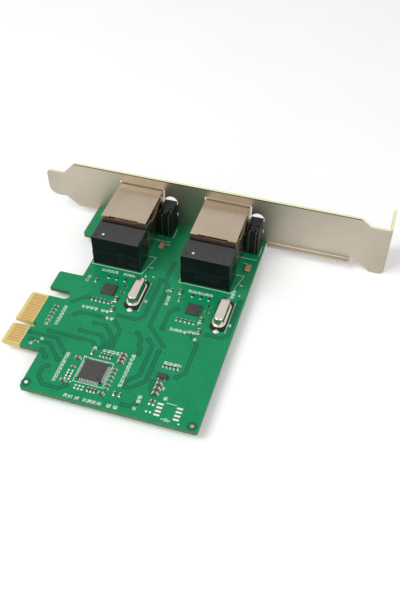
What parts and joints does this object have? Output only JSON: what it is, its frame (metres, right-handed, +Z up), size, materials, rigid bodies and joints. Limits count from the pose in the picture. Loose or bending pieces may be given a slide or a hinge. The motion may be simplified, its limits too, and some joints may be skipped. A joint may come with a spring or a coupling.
{
  "type": "network interface card",
  "caption": "Low-profile network card with modular jacks, line transformers and lamps on a green board, behind a folded full-height slot bracket.",
  "frame": {"origin": "on the tip of the card edge, at the middle of its key notch and half way through the board", "axes": "+X along the bracket from its tongue to its screw tab, +Y out through the bracket, +Z up from the component side of the board"},
  "size_m": [0.12, 0.0929, 0.0217],
  "materials": {
    "board_green": "green solder mask over glass laminate, satin",
    "contact_gold": "hard gold plating, satin",
    "bracket_steel": "bright nickel plating over steel sheet",
    "shell_metal": "tin-nickel plated sheet, satin",
    "insert_black": "black moulded plastic",
    "spring_gold": "gold-plated spring wire",
    "tail_tin": "tinned",
    "case_black": "black potted case, finely textured",
    "holder_black": "black moulded plastic",
    "lamp_clear": "clear moulded lamp",
    "can_nickel": "polished nickel",
    "pad_black": "black insulating pad",
    "chip_black": "moulded epoxy",
    "ceramic_tan": "fired ceramic",
    "film_black": "black film coating"
  },
  "bodies": {
    "root": {"bracket": "bracket_steel", "bridge_chip": "chip_black", "bridge_leads": "tail_tin", "ceramic_capacitor_1": "ceramic_tan", "ceramic_capacitor_2": "ceramic_tan", "ceramic_capacitor_ends_1": "tail_tin", "ceramic_capacitor_ends_2": "tail_tin", "circuit_board": "board_green", "controller_chip_1": "chip_black", "controller_chip_2": "chip_black", "controller_pads_1": "tail_tin", "controller_pads_2": "tail_tin", "crystal_can_1": "can_nickel", "crystal_can_2": "can_nickel", "crystal_feet_1": "tail_tin", "crystal_feet_2": "tail_tin", "crystal_pad_1": "pad_black", "crystal_pad_2": "pad_black", "edge_contacts_top": "contact_gold", "edge_contacts_under": "contact_gold", "jack_contacts_1": "spring_gold", "jack_contacts_2": "spring_gold", "jack_insert_1": "insert_black", "jack_insert_2": "insert_black", "jack_shell_1": "shell_metal", "jack_shell_2": "shell_metal", "jack_tails_1": "tail_tin", "jack_tails_2": "tail_tin", "lamp_holder_1": "holder_black", "lamp_holder_2": "holder_black", "lamp_leads_1": "tail_tin", "lamp_leads_2": "tail_tin", "lamps_1": "lamp_clear", "lamps_2": "lamp_clear", "regulator": "chip_black", "regulator_leads": "tail_tin", "resistor_ends": "tail_tin", "resistors": "film_black", "small_capacitor_ends": "tail_tin", "small_capacitors": "ceramic_tan", "transformer_1": "case_black", "transformer_2": "case_black", "transformer_tails_1": "tail_tin", "transformer_tails_2": "tail_tin"}
  },
  "joints": []
}
